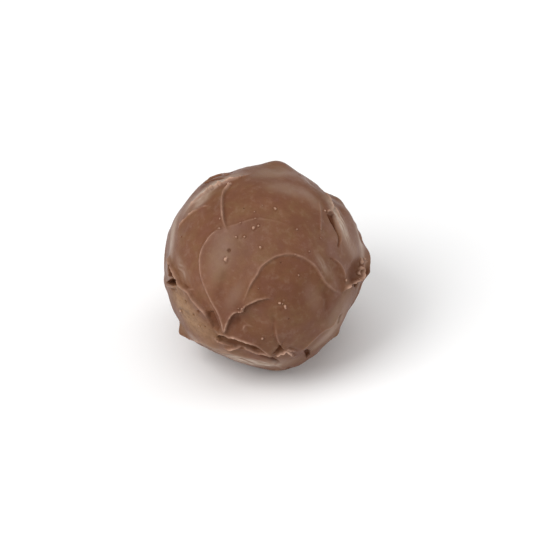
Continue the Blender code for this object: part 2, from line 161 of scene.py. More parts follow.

# A ridge falls off over the length "left" to the left of its points' direction, and "right" to the right.
# start and end are the shares of its length over which it rises and fades. A groove lies along its steeper
# foot, lean is how far its crest hangs over that foot, torn is how ragged the crest is, and thread is the
# height of the thin seam along its top, which also sets how strong the seam's painted highlight is.
RIDGES = [
    Ridge("faint_arc", FRONT, [(5.05, 5.8), (3.4, 6.5), (1.9, 7.0), (0.3, 7.3), (-1.1, 7.4), (-2.45, 7.2),
                               (-3.75, 6.75), (-5.2, 6.3), (-6.9, 5.9)], 0.13, 1.3, 0.3, 0.5, 0.2, 0.04,
          thread=0.04),
    Ridge("long_left", FRONT, [(-6.3, 6.1), (-7.6, 5.4), (-8.7, 4.2), (-9.5, 2.9), (-9.9, 1.2), (-9.9, 0.0),
                               (-9.7, -1.6), (-9.1, -3.3), (-8.3, -5.0), (-7.4, -6.7), (-6.7, -8.1),
                               (-6.35, -9.2), (-6.2, -10.1)], 0.32, 1.6, 0.45, 0.12, 0.05, 0.08, 0.0,
          0.1, 0.13),
    Ridge("centre_left", FRONT, [(-5.2, 13.1), (-5.5, 12.6), (-6.1, 11.9), (-6.5, 11.0), (-6.55, 9.8),
                                 (-6.5, 8.5), (-6.3, 7.1), (-6.0, 6.1), (-5.5, 5.0)], 0.36, 0.3, 1.5,
          0.15, 0.3, 0.2, 0.0, 0.05, 0.14),
    Ridge("arch", FRONT, [(-3.5, -6.4), (-2.8, -4.4), (-2.1, -2.7), (-1.15, -1.25), (-0.3, 0.15), (1.5, 1.4),
                          (2.8, 1.8), (3.8, 1.9), (5.0, 1.7), (6.4, 1.1), (7.7, 0.1), (8.6, -1.2),
                          (9.4, -2.5), (10.5, -3.5), (11.5, -4.0), (12.2, -4.3)], 0.36, 1.5, 0.5,
          0.2, 0.15, 0.08, 0.0, 0.05, 0.09),
    Ridge("inner_arch", FRONT, [(2.0, -5.0), (0.4, -4.9), (-1.2, -5.15), (-2.4, -5.7), (-3.1, -6.2),
                                (-3.6, -6.95), (-4.5, -7.15), (-5.2, -7.7), (-5.7, -8.7), (-6.0, -9.7),
                                (-6.2, -10.3)], 0.6, 0.26, 1.6, 0.35, 0.1, 0.22, 0.0, 0.15, 0.17),
    Ridge("left_ledge", FRONT, [(-15.2, 2.0), (-14.8, 0.5), (-14.2, -0.5), (-13.6, -1.8), (-13.2, -2.8),
                                (-12.5, -3.3), (-11.7, -3.95), (-11.1, -4.9), (-10.15, -6.0), (-9.2, -7.05),
                                (-8.7, -8.0), (-8.4, -8.6)], 0.5, 0.2, 1.6, 0.1, 0.12, 0.14, 0.0, 0.12,
          0.16),
    Ridge("torn_edge", FRONT, [(-7.8, -10.3), (-7.0, -10.35), (-6.2, -10.3), (-5.4, -10.8), (-4.65, -10.8),
                               (-3.9, -11.1), (-3.0, -11.45), (-1.4, -12.0), (-0.3, -12.75), (0.7, -13.5),
                               (1.5, -13.9)], 0.42, 1.2, 0.2, 0.1, 0.1, 0.0, 0.0, 0.15, 0.18),
    Ridge("recess_edge", FRONT, [(-7.7, -11.0), (-7.5, -11.45), (-7.0, -11.75), (-6.3, -12.05),
                                 (-4.9, -12.5)], 0.16, 0.15, 0.4, 0.1, 0.6, 0.0, 0.0, 0.1, 0.2),
    Ridge("lower_lip", FRONT, [(-6.6, -12.75), (-5.5, -12.8), (-4.9, -12.7), (-4.0, -12.55), (-3.5, -12.55),
                               (-2.6, -12.8), (-1.9, -13.0), (-1.0, -13.35), (-0.1, -13.4), (1.0, -13.8),
                               (1.9, -13.95)], 0.34, 0.3, 0.7, 0.15, 0.12, 0.0, 0.0, 0.1, 0.2),
    Ridge("lip_curl", FRONT, [(1.6, -14.0), (1.95, -13.8), (2.5, -13.45), (3.0, -13.3), (3.4, -13.05),
                              (3.8, -13.35), (4.2, -13.7), (4.6, -14.05), (4.9, -13.8)], 0.2, 0.25, 0.25,
          0.1, 0.15, 0.0, 0.0, 0.25, 0.24),
    Ridge("lip_fold", FRONT, [(3.3, -12.7), (3.9, -13.0), (4.5, -13.1), (4.9, -13.4)], 0.14, 0.2, 0.3,
          0.2, 0.3, 0.1, 0.0, 0.2, 0.14),
    Ridge("foot_edge", FRONT, [(-13.5, -8.6), (-13.1, -10.0), (-12.3, -10.7), (-11.3, -11.1),
                               (-10.2, -11.6), (-9.2, -12.0), (-7.9, -12.5), (-6.6, -13.0)], 0.34, 1.0,
          0.4, 0.15, 0.15, 0.0, 0.0, 0.2),
    Ridge("foot_band", FRONT, [(-8.5, -13.0), (-5.7, -13.4), (-4.0, -13.8), (-1.9, -14.2), (-0.1, -14.6),
                               (1.9, -15.2), (3.6, -15.5)], 0.26, 0.7, 0.5, 0.2, 0.3),
    Ridge("flank_rim", FRONT, [(9.6, 12.0), (9.9, 11.2), (10.3, 10.4), (10.6, 9.4), (10.75, 8.6)], 0.4,
          0.22, 1.2, 0.2, 0.15, 0.2, 0.0, 0.1, 0.2),
    Ridge("flank_nub", FRONT, [(9.75, 8.5), (10.15, 8.6), (10.6, 8.4), (10.95, 8.0), (11.15, 7.5)], 0.3,
          0.3, 0.2, 0.15, 0.2, 0.1, 0.0, 0.4, 0.2),
    Ridge("flank_edge", FRONT, [(11.0, 7.9), (11.4, 7.2), (11.75, 6.3), (12.0, 5.4), (12.05, 4.2),
                                (11.9, 3.1)], 0.08, 1.3, 0.2, 0.1, 0.3, 0.0, 0.0, 0.2, 0.13),
    Ridge("flank_streak", FRONT, [(11.0, 9.7), (11.5, 8.8), (12.0, 7.7), (12.4, 6.7)], 0.04, 0.3, 0.3,
          0.25, 0.3, 0.0, 0.0, 0.45, 0.24),
    Ridge("flank_thread", FRONT, [(11.9, 6.2), (12.35, 5.1), (12.7, 4.0)], 0.04, 0.3, 0.3, 0.25, 0.3, 0.0,
          0.0, 0.4, 0.18),
    Ridge("centre_top", FRONT, [(-5.15, 13.15), (-5.6, 12.45), (-6.1, 11.75), (-6.4, 11.1)], 0.06, 0.3, 0.5,
          0.2, 0.3, 0.0, 0.0, 0.2, 0.25),
    Ridge("flank_lower", FRONT, [(10.4, 1.2), (11.3, 0.8), (12.05, -0.1), (12.4, -1.0), (12.65, -2.0)],
          0.16, 0.7, 0.35, 0.2, 0.15),
    Ridge("right_tear", FRONT, [(12.2, -4.3), (12.7, -3.3), (13.8, -2.6), (14.9, -2.0), (15.2, -1.0),
                                (15.2, -0.1), (15.4, 0.5), (15.7, 0.9)], 0.5, 0.3, 0.3, 0.15, 0.1, 0.15,
          0.0, 0.25, 0.36),
    Ridge("upper_right", FRONT, [(8.4, 10.7), (8.65, 9.3), (8.7, 7.5), (8.7, 5.8), (8.7, 4.4)],
          0.12, 0.6, 0.4, 0.3, 0.3, thread=0.05),
    Ridge("shoulder_fold", FRONT, [(-12.4, 8.5), (-11.3, 9.7), (-10.2, 10.7), (-8.8, 11.7), (-7.9, 12.3),
                                   (-6.8, 12.7), (-5.2, 13.4), (-3.5, 14.0), (-1.8, 14.7)], 0.3, 0.9, 0.4,
          0.25, 0.3, 0.05, 0.0, 0.3, 0.3),
    Ridge("left_arc", FRONT, [(-13.6, 5.2), (-13.3, 6.3), (-12.1, 7.7), (-11.4, 8.4), (-10.5, 8.9),
                              (-9.6, 9.3), (-8.4, 9.5)], 0.14, 0.6, 0.35, 0.25, 0.25, torn=0.3, thread=0.22),
    Ridge("rim_lobe", FRONT, [(-9.0, 13.0), (-8.2, 13.8), (-7.5, 14.2), (-6.7, 14.4), (-5.8, 14.4),
                              (-5.0, 14.7)], 0.3, 1.2, 0.25, 0.2, 0.3, 0.15),
    Ridge("lower_spur", FRONT, [(1.6, -8.5), (1.8, -9.7), (2.0, -10.8), (2.3, -11.6), (2.8, -12.4),
                                (3.3, -13.0)], 0.3, 1.0, 0.3, 0.5, 0.1, 0.15, 0.1),
    Ridge("lower_right", FRONT, [(5.2, -13.5), (6.5, -12.4), (7.9, -11.1), (9.2, -10.0), (10.5, -9.3),
                                 (11.3, -8.2), (12.0, -6.7)], 0.22, 1.2, 0.7, 0.15, 0.3),
    Ridge("pore_curl", FRONT, [(-3.3, -10.2), (-3.2, -9.6), (-2.8, -9.4), (-2.2, -9.45), (-1.65, -9.75)],
          0.08, 0.25, 0.25, 0.3, 0.3, 0.0, 0.0, 0.25, 0.08),
    Ridge("hole_thread", FRONT, [(-15.5, -2.55), (-15.1, -2.95), (-14.3, -3.15), (-13.5, -3.0)], 0.3,
          0.22, 0.3, 0.2, 0.2),
    Ridge("scratch", FRONT, [(-12.3, -3.55), (-11.6, -3.6), (-10.8, -3.5)], 0.03, 0.12, 0.12, 0.3, 0.4),
    Ridge("back_arch", BACK, [(-8.5, -6.0), (-6.5, -1.5), (-3.0, 2.2), (1.5, 3.6), (5.6, 2.2), (8.4, -1.2),
                              (9.6, -5.2)], 0.36, 1.6, 0.5, 0.2, 0.25, 0.05),
    Ridge("back_sweep", BACK, [(-11.5, 4.5), (-6.5, 6.2), (-1.0, 7.6), (3.5, 8.2), (8.0, 7.0)],
          0.3, 0.5, 1.4, 0.25, 0.3),
    Ridge("back_fork", BACK, [(1.5, 3.6), (2.9, 5.8), (3.5, 8.2)], 0.22, 0.5, 1.0, 0.1, 0.3),
    Ridge("back_inner", BACK, [(-2.8, -8.4), (-0.6, -4.2), (2.6, -3.0), (5.4, -4.6), (6.8, -8.6)],
          0.42, 1.3, 0.3, 0.2, 0.3, 0.1, 0.15, 0.2, 0.1),
    Ridge("back_foot", BACK, [(-11.0, -9.5), (-7.5, -10.6), (-4.0, -10.2), (-0.5, -11.3), (3.5, -10.9),
                              (7.5, -11.6), (10.5, -10.2)], 0.45, 1.2, 0.3, 0.15, 0.2, 0.1, 0.15, 0.3, 0.12),
    Ridge("back_run", BACK, [(-13.0, 5.5), (-10.8, 1.4), (-10.0, -3.5), (-11.0, -9.0)],
          0.3, 1.3, 0.5, 0.3, 0.15),
    Ridge("east_arch", EAST, [(-5.0, -9.0), (-4.6, -3.5), (-1.8, 1.0), (2.4, 2.6), (6.2, 1.0)],
          0.38, 1.4, 0.5, 0.2, 0.3, 0.05),
    Ridge("east_sweep", EAST, [(2.4, 2.6), (5.2, 4.8), (8.2, 6.0), (11.4, 6.6)], 0.28, 0.5, 1.5, 0.15, 0.3),
    Ridge("east_short", EAST, [(3.6, -1.6), (6.4, -5.2), (6.6, -9.6)], 0.34, 1.2, 0.3, 0.3, 0.2, 0.1),
    Ridge("east_foot", EAST, [(-8.0, -11.2), (-5.0, -10.2), (-1.6, -11.1), (2.6, -10.4), (6.5, -11.2)],
          0.42, 1.1, 0.3, 0.2, 0.2, 0.1, 0.15, 0.3, 0.12),
    Ridge("west_arch", WEST, [(2.4, -9.8), (2.7, -4.6), (0.6, -0.2), (-2.8, 2.2), (-6.6, 1.5), (-9.2, -2.2)],
          0.38, 0.5, 1.5, 0.2, 0.3, 0.05),
    Ridge("west_sweep", WEST, [(-12.0, 8.0), (-8.4, 6.8), (-5.6, 5.2), (-3.4, 3.4)],
          0.28, 0.5, 1.2, 0.3, 0.3),
    Ridge("west_inner", WEST, [(0.3, -9.8), (-0.4, -6.2), (-3.2, -4.0), (-6.6, -4.8), (-8.6, -8.4)],
          0.38, 0.3, 1.3, 0.25, 0.3, 0.1, 0.1, 0.2, 0.1),
    Ridge("west_foot", WEST, [(-8.5, -9.8), (-4.5, -11.2), (-0.5, -10.6), (3.5, -11.6), (8.0, -10.9)],
          0.42, 1.1, 0.3, 0.2, 0.2, 0.1, 0.15, 0.3, 0.12),
]

# Narrow cracks. The width of each is the distance over which it falls off to either side.
CRACKS = [
    Crack(FRONT, [(-1.3, -13.65), (0.1, -14.0), (1.3, -14.5), (2.4, -15.0)], 0.45, 0.3),
    Crack(FRONT, [(-9.4, 12.75), (-8.6, 13.2), (-7.8, 13.6), (-6.6, 13.8), (-5.6, 14.0)], 0.55, 0.2),
    Crack(FRONT, [(-5.9, 0.1), (-6.8, -3.1), (-7.0, -5.8)], 0.14, 0.7),
    Crack(FRONT, [(9.1, -2.8), (9.6, -5.0), (9.6, -7.8)], 0.12, 0.5),
    Crack(FRONT, [(1.3, -7.0), (1.5, -8.6), (1.6, -10.4)], 0.08, 0.3),
    Crack(FRONT, [(10.0, 0.9), (10.25, 1.15), (10.7, 1.0), (11.5, 0.2)], 0.08, 0.14),
    Crack(FRONT, [(-12.7, -2.7), (-12.1, -3.2), (-11.8, -3.5)], 0.1, 0.16),
    Crack(FRONT, [(12.2, -7.2), (11.8, -8.0), (11.5, -9.2)], 0.2, 0.2),
    Crack(FRONT, [(9.9, 12.2), (10.25, 11.3), (10.6, 10.5), (10.9, 9.4)], 0.3, 0.22),
    Crack(FRONT, [(10.0, 8.1), (10.5, 7.1), (10.85, 6.5), (11.2, 5.8), (11.4, 5.2)], 0.3, 0.2),
    Crack(FRONT, [(11.1, 6.0), (11.5, 5.1), (11.7, 4.25), (11.6, 3.4), (11.4, 2.7)], 0.22, 0.14),
    Crack(FRONT, [(-14.6, -3.5), (-14.0, -3.6), (-13.5, -3.45)], 0.2, 0.2),
]

# Bands of fine streaks that run along a line, as far as the width to either side of it.
RIPPLES = [
    Ripples(FRONT, [(10.7, 10.2), (11.9, 7.9), (12.7, 6.2), (13.3, 4.4), (13.7, 2.0)], 1.5, 0.7, 0.035),
    Ripples(FRONT, [(8.3, 2.4), (8.9, 0.6), (9.8, -1.6)], 0.9, 0.5, 0.03),
    Ripples(FRONT, [(-11.4, 10.0), (-8.8, 12.1), (-5.2, 13.9)], 1.3, 0.6, 0.035),
    Ripples(FRONT, [(-13.6, 0.6), (-12.4, -1.2), (-11.0, -3.2)], 1.2, 0.8, 0.03),
    Ripples(FRONT, [(-8.0, -13.3), (-4.0, -14.4), (-1.0, -15.0), (2.5, -15.5)], 1.8, 1.7, 0.045),
    Ripples(FRONT, [(0.7, 15.2), (1.7, 15.3), (2.7, 15.0)], 0.9, 0.35, 0.03),
    Ripples(FRONT, [(5.0, -14.8), (7.5, -12.9), (9.8, -11.0)], 0.8, 0.45, 0.035),
    Ripples(FRONT, [(-8.6, -6.0), (-7.4, -8.2)], 0.8, 0.42, 0.03),
]

# Broad rises and, where the height is negative, flats. Those on the front mostly give the outline in the
# photograph.
LUMPS = [
    Lump(FRONT, 2.1, 15.4, 2.3, 0.95),
    Lump(FRONT, 9.0, 12.6, 3.0, -1.25),
    Lump(FRONT, -5.2, 14.8, 1.6, -0.3),
    Lump(FRONT, -9.6, 12.3, 2.7, 0.38),
    Lump(FRONT, 15.9, 1.6, 1.3, 0.55),
    Lump(FRONT, 16.1, 0.0, 1.1, 0.4),
    Lump(FRONT, 16.4, -1.0, 0.85, 0.75),
    Lump(FRONT, 14.9, 4.6, 1.2, -0.65),
    Lump(FRONT, 5.4, -14.6, 1.3, 0.35),
    Lump(FRONT, -14.1, -6.6, 2.8, 0.17),
    Lump(FRONT, -9.9, -12.0, 1.3, 0.2),
    Lump(FRONT, 14.2, -7.0, 4.4, -1.1),
    Lump(FRONT, 15.2, -3.2, 1.6, -0.35),
    Lump(FRONT, 9.8, -12.2, 2.2, -0.18),
    Lump(FRONT, 11.3, -10.5, 0.9, 0.35),
    Lump(FRONT, 7.7, -13.6, 1.5, 0.3),
    Lump(FRONT, 2.8, -15.6, 3.2, 0.75),
    Lump(FRONT, -6.2, -14.8, 3.4, -0.35),
    Lump(FRONT, -12.9, -10.1, 1.0, 0.75),
    Lump(FRONT, -11.7, -11.2, 1.7, 0.4),
    Lump(FRONT, -15.3, 2.6, 4.0, -0.6),
    Lump(FRONT, -15.4, -2.4, 1.6, 0.35),
    Lump(FRONT, 12.9, 8.2, 2.4, 0.6),
    Lump(FRONT, 11.5, 10.5, 1.6, 0.42),
    Lump(FRONT, 5.4, 14.35, 0.5, -0.2),
    Lump(FRONT, -6.25, -9.8, 0.6, 0.3),
    Lump(BACK, 3.5, 6.0, 5.0, 0.4),
    Lump(BACK, -6.0, -3.0, 5.0, -0.45),
    Lump(BACK, 8.0, -7.0, 4.5, 0.35),
    Lump(EAST, 2.0, -4.5, 4.5, 0.35),
    Lump(EAST, 0.0, 9.0, 4.5, -0.35),
    Lump(WEST, -2.0, 4.0, 5.0, 0.35),
    Lump(WEST, 1.5, -6.0, 4.5, -0.4),
]

# Soft oval dents, with half their length and half their width.
HOLLOWS = [
    Hollow(FRONT, -2.8, -8.4, 3.4, 2.0, -20, 0.6),
    Hollow(FRONT, -4.5, -8.9, 1.3, 0.9, 55, 0.3),
    Hollow(FRONT, -9.3, -5.9, 3.8, 0.65, -52, 0.1),
    Hollow(FRONT, 11.4, -1.6, 2.6, 0.9, -68, 0.28),
    Hollow(FRONT, 14.2, -0.9, 2.4, 1.7, 61, 0.6),
    Hollow(FRONT, 5.4, -3.6, 5.0, 3.6, -35, 0.3),
    Hollow(FRONT, -7.5, 10.3, 1.5, 0.9, 60, 0.25),
    Hollow(FRONT, 14.45, -2.8, 0.5, 0.42, 0, 0.9),
    Hollow(FRONT, 3.7, -15.4, 0.8, 0.5, 5, 0.3),
    Hollow(FRONT, 10.3, 12.75, 4.4, 1.1, 51, 0.6),
    Hollow(BACK, 2.4, -6.6, 3.4, 2.6, 0, 0.45),
    Hollow(EAST, 1.0, -3.6, 3.6, 2.8, 20, 0.35),
    Hollow(WEST, 0.4, -6.4, 3.4, 2.4, 0, 0.4),
]

# Steep-sided dents. The corners of each go round it in order, soft is the width of its walls, and dark is how
# much painted shade it gets.
PITS = [
    Pit(FRONT, [(-15.3, -2.5), (-14.2, -1.85), (-13.55, -2.05), (-13.35, -2.75), (-14.2, -2.9)],
        1.1, 0.3, 0.8),
    Pit(FRONT, [(-14.95, -1.4), (-14.85, 0.3), (-14.6, 0.2), (-13.9, -1.6)], 0.75, 0.22, 0.7),
    Pit(FRONT, [(9.8, 8.2), (10.8, 8.1), (11.05, 7.0), (11.1, 6.1), (10.4, 6.9)], 0.3, 0.35, 0.85),
    Pit(FRONT, [(1.4, -13.35), (2.1, -12.7), (2.75, -11.9), (2.95, -13.0), (2.3, -13.4)], 0.35, 0.8, 0.75),
    Pit(FRONT, [(-7.4, -11.1), (-6.7, -10.5), (-3.6, -11.35), (-0.8, -12.95), (-3.6, -12.65), (-6.7, -11.8)],
        0.42, 0.3, 0.42),
    Pit(FRONT, [(-7.3, -11.1), (-6.7, -10.6), (-6.1, -10.8), (-6.4, -11.4)], 0.3, 0.4, 0.45),
    Pit(FRONT, [(-8.8, -7.1), (-8.0, -7.0), (-6.8, -9.3), (-7.1, -9.8), (-8.0, -9.6), (-8.7, -8.0)],
        0.4, 0.5, 0.3),
    Pit(FRONT, [(15.3, -1.9), (15.45, -0.5), (15.65, 0.1), (15.8, -0.5), (15.78, -1.2), (15.6, -1.9)],
        0.35, 0.4, 0.9),
    Pit(FRONT, [(6.25, -13.25), (6.6, -13.0), (7.05, -13.2), (7.15, -13.85), (6.6, -14.25)], 0.5, 0.3, 0.85),
]

# Soft patches in the shade of an edge; the last number of each is how dark it is.
SHADES = [
    Hollow(FRONT, 14.4, -0.8, 2.4, 1.7, 61, 0.6),
    Hollow(FRONT, 13.9, -2.3, 1.0, 0.6, 40, 0.3),
    Hollow(FRONT, 15.8, -0.9, 1.7, 0.9, 0, 0.85),
    Hollow(FRONT, -8.9, 12.95, 1.2, 0.8, 35, 0.7),
    Hollow(FRONT, 1.7, 15.1, 1.2, 1.0, 0, 0.2),
    Hollow(FRONT, -4.7, -8.7, 1.6, 0.8, 60, 0.28),
    Hollow(FRONT, -1.6, -5.9, 2.0, 0.6, 8, 0.22),
    Hollow(FRONT, -9.3, -5.7, 3.4, 0.35, -52, 0.12),
    Hollow(FRONT, -12.3, -3.2, 0.6, 0.35, -20, 0.1),
    Hollow(FRONT, 9.0, 6.2, 3.0, 1.0, -75, 0.12),
    Hollow(FRONT, -7.6, 10.6, 1.4, 0.7, 60, 0.16),
    Hollow(FRONT, 9.2, 10.9, 2.4, 1.1, -60, 0.25),
    Hollow(FRONT, 12.0, -2.2, 2.0, 0.7, -72, 0.15),
    Hollow(FRONT, -7.8, -8.5, 1.4, 0.8, -57, 0.28),
]

# Crumbs and small drops of chocolate, all of them seen from the front.
BEADS = [
    Bead(-6.9, 5.85, 0.2), Bead(-6.8, 7.3, 0.18), Bead(-3.75, 6.75, 0.16), Bead(-1.4, 7.4, 0.18),
    Bead(-1.55, 8.5, 0.16), Bead(1.7, 8.9, 0.22), Bead(-0.3, 9.5, 0.14), Bead(-1.7, 6.0, 0.22),
    Bead(-0.9, 6.3, 0.2), Bead(-4.4, 4.6, 0.22), Bead(-3.1, 4.6, 0.2), Bead(-6.05, 1.05, 0.3),
    Bead(-0.65, 3.0, 0.2), Bead(4.65, 1.85, 0.16), Bead(6.9, 2.35, 0.16), Bead(5.05, 5.8, 0.18),
    Bead(8.7, 5.75, 0.14), Bead(8.7, 4.4, 0.14), Bead(5.4, -1.4, 0.14), Bead(-0.9, -3.4, 0.12),
    Bead(2.4, -5.7, 0.26), Bead(2.85, -5.85, 0.16), Bead(3.2, -6.2, 0.28), Bead(-0.3, -11.1, 0.24),
    Bead(-5.0, -11.6, 0.17), Bead(-13.1, -6.95, 0.24), Bead(-10.15, -9.3, 0.22), Bead(12.7, -2.15, 0.22),
    Bead(-13.1, 4.64, 0.14), Bead(9.45, 8.7, 0.2), Bead(-3.5, -7.1, 0.24), Bead(-3.9, -7.0, 0.2),
    Bead(-4.3, -7.15, 0.18), Bead(-3.3, -6.75, 0.22), Bead(-3.45, -6.4, 0.2), Bead(-3.95, -6.45, 0.2),
    Bead(15.1, -1.95, 0.22), Bead(14.9, -1.1, 0.24), Bead(15.1, -0.2, 0.28), Bead(15.15, 0.75, 0.42),
    Bead(15.5, 1.2, 0.3), Bead(14.4, -2.2, 0.16), Bead(4.3, -13.75, 0.18), Bead(-8.75, 11.75, 0.24),
    Bead(-8.1, 12.15, 0.2), Bead(-6.9, 12.6, 0.2), Bead(-5.5, 12.6, 0.18), Bead(-3.7, 13.9, 0.18),
    Bead(14.75, -2.1, 0.26), Bead(-7.2, -11.6, 0.16),
]

# Small open pores, half as deep as they are wide, with painted shade in them.
PORES = [
    Bead(-5.5, 2.5, 0.26), Bead(-10.15, -6.9, 0.24), Bead(-11.0, -7.5, 0.2), Bead(-12.2, -5.4, 0.22),
    Bead(-9.3, -9.4, 0.16), Bead(2.6, 0.6, 0.12), Bead(-3.2, 9.1, 0.12), Bead(3.8, -8.2, 0.12),
]

# The scuffed patch of paler chocolate, low on the left.
SCUFF = Hollow(FRONT, -12.0, -7.4, 5.4, 2.7, -56, 1.0)

# Soft patches of painted sheen, a greyer reflection; the last number of each is how strong it is.
SHEEN = [
    Hollow(FRONT, -6.8, 1.8, 4.2, 2.0, 75, 0.17),
    Hollow(FRONT, -4.6, -4.4, 2.6, 1.0, 60, 0.12),
    Hollow(FRONT, 9.0, 0.3, 2.0, 0.6, -60, 0.28),
    Hollow(FRONT, 3.8, 12.2, 3.6, 1.6, -14, 0.25),
    Hollow(FRONT, 7.4, 10.6, 2.6, 1.0, -50, 0.15),
    Hollow(FRONT, -8.2, 12.5, 4.4, 1.4, 32, 1.0),
    Hollow(FRONT, -9.9, 10.2, 1.8, 1.0, 42, 0.5),
    Hollow(FRONT, -11.6, 10.0, 2.6, 1.6, 50, 0.2),
    Hollow(FRONT, 11.8, 7.6, 4.0, 1.3, -65, 0.95),
    Hollow(FRONT, 14.1, 2.6, 1.6, 1.4, -50, 0.25),
    Hollow(FRONT, -13.0, -0.2, 2.4, 0.8, -62, 0.25),
    Hollow(FRONT, -2.6, -14.9, 5.6, 1.9, -11, 0.9),
    Hollow(FRONT, 1.6, 14.8, 3.6, 2.0, 5, 0.28),
    Hollow(FRONT, 12.0, -7.2, 3.6, 2.2, 60, 0.25),
    Hollow(FRONT, -10.5, -11.5, 3.4, 1.0, -33, 0.35),
    Hollow(FRONT, 7.6, -4.8, 2.6, 1.2, -72, 0.12),
    Hollow(FRONT, 9.8, -11.0, 3.4, 1.2, 46, 0.4),
    Hollow(BACK, -4.0, 5.0, 4.5, 1.6, 25, 0.6),
    Hollow(BACK, 5.5, -2.0, 4.0, 1.4, -60, 0.6),
    Hollow(EAST, -1.0, 4.5, 4.0, 1.5, 15, 0.6),
    Hollow(EAST, 4.0, -6.0, 3.5, 1.2, -55, 0.6),
    Hollow(WEST, 2.0, 6.0, 4.0, 1.5, -20, 0.6),
    Hollow(WEST, -4.0, -4.0, 3.5, 1.3, 60, 0.6),
]


def side_axes(side):
    """The right, up and outward directions of a sketch plane."""
    turn = math.radians(side.azimuth)
    rise = math.radians(side.elevation)
    right = np.array([math.cos(turn), math.sin(turn), 0.0])
    up = np.array([-math.sin(turn) * math.sin(rise), math.cos(turn) * math.sin(rise), math.cos(rise)])
    outward = np.array([math.sin(turn) * math.cos(rise), -math.cos(turn) * math.cos(rise), math.sin(rise)])
    return right, up, outward


def on_ball(side, x, y, radius=SMEAR_RADIUS):
    """The direction, from the ball's middle, of the point x, y of a sketch plane, where the surface has that
    radius."""
    right, up, outward = side_axes(side)
    out = math.hypot(x, y)
    if out < TINY:
        return outward
    inside = min(out, radius)
    tip = math.asin(inside / radius) + (out - inside) / radius
    sideways = (right * x + up * y) / out
    return sideways * math.sin(tip) + outward * math.cos(tip)


def unit(vectors):
    return vectors / np.linalg.norm(vectors, axis=-1, keepdims=True)


def smooth(value):
    """Takes 0 to 1 to 0 to 1 with soft ends, clamped."""
    value = np.clip(value, 0.0, 1.0)
    return value * value * (3.0 - 2.0 * value)


def bell(value, width):
    """1 where the value is 0, falling off softly to either side."""
    return np.exp(-((value / width) ** 2))


def unevenness(points, noises, mean=0.0):
    """The mean plus some smooth random noises at each direction."""
    total = np.full(len(points), mean)
    for size, seed, strength in noises:
        scale = BALL_RADIUS / size
        shift = Vector([seed * step for step in SEED_SHIFT])
        total += strength * np.array([noise.noise(Vector(point) * scale + shift) for point in points])
    return total


def away_from(points, side, x, y, radius=SMEAR_RADIUS):
    """Each direction's distance in mm from the point x, y of a sketch plane."""
    return np.arccos(np.clip(points @ on_ball(side, x, y, radius), -1, 1)) * BALL_RADIUS


def trace(curve):
    """Points along the smooth line of a ridge, crack or ripples on the unit sphere, the directions along it
    and to its left, and their shares of the way along."""
    knots = [on_ball(curve.side, x, y) for x, y in curve.points]
    knots = [2 * knots[0] - knots[1], *knots, 2 * knots[-1] - knots[-2]]
    line = []
    for a, b, c, d in zip(knots, knots[1:], knots[2:], knots[3:]):
        count = max(2, round(np.linalg.norm(c - b) * BALL_RADIUS / TRACE_STEP))
        for t in np.arange(count) / count:
            line.append(0.5 * (2 * b + (c - a) * t + (2 * a - 5 * b + 4 * c - d) * t**2
                               + (3 * b - a - 3 * c + d) * t**3))
    line = unit(np.array([*line, knots[-2]]))
    along = unit(np.gradient(line, axis=0))
    left = unit(np.cross(line, along))
    steps = np.linalg.norm(np.diff(line, axis=0), axis=1)
    share = np.concatenate([[0.0], np.cumsum(steps)]) / steps.sum()
    return line, along, left, share


def close_to(points, line, reach):
    """Which directions may lie within reach mm of a traced line."""
    middle = unit(line.mean(axis=0))
    spread = math.acos(min(1.0, (line @ middle).min())) + reach / BALL_RADIUS
    return np.flatnonzero(points @ middle > math.cos(min(spread, math.pi)))


def beside(points, curve, reach):
    """Which directions may lie within reach mm of a curve, their distance to its left, their share of the way
    along, their distance past its ends, and the curve's own left there."""
    line, along, left, share = trace(curve)
    near = close_to(points, line, reach)
    nearest = (points[near] @ line.T).argmax(axis=1)
    offset = (points[near] - line[nearest]) * BALL_RADIUS
    sideways = (offset * left[nearest]).sum(axis=1)
    onward = (offset * along[nearest]).sum(axis=1)
    past = np.where(nearest == 0, -onward, np.where(nearest == len(line) - 1, onward, 0.0))
    return near, sideways, share[nearest], np.maximum(past, 0.0), left[nearest]


def end_fade(share, past, start, end):
    """The strength along a curve: it rises over the share start, fades over the share end, and is soon gone
    past the ends."""
    return smooth(share / start) * smooth((1 - share) / end) * bell(past, END_REACH)


